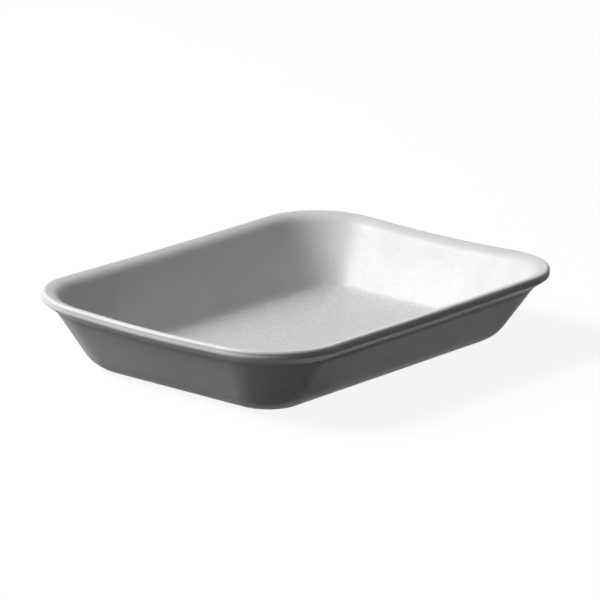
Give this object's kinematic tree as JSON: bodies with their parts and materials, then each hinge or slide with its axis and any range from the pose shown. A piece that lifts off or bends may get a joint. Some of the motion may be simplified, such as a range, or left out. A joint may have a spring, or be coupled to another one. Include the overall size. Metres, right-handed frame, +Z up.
{
  "type": "foam meat tray",
  "caption": "Shallow rectangular foam food tray with flared walls, rounded corners and a rolled-out rim.",
  "frame": {"origin": "middle of the flat underside, on the surface the tray stands on", "axes": "+X along the tray's length, +Y across it, +Z up out of its open top"},
  "size_m": [0.2094, 0.146, 0.034],
  "materials": {
    "foam": "matte white foamed polystyrene with a soft sheen"
  },
  "bodies": {
    "root": {"tray": "foam"}
  },
  "joints": []
}
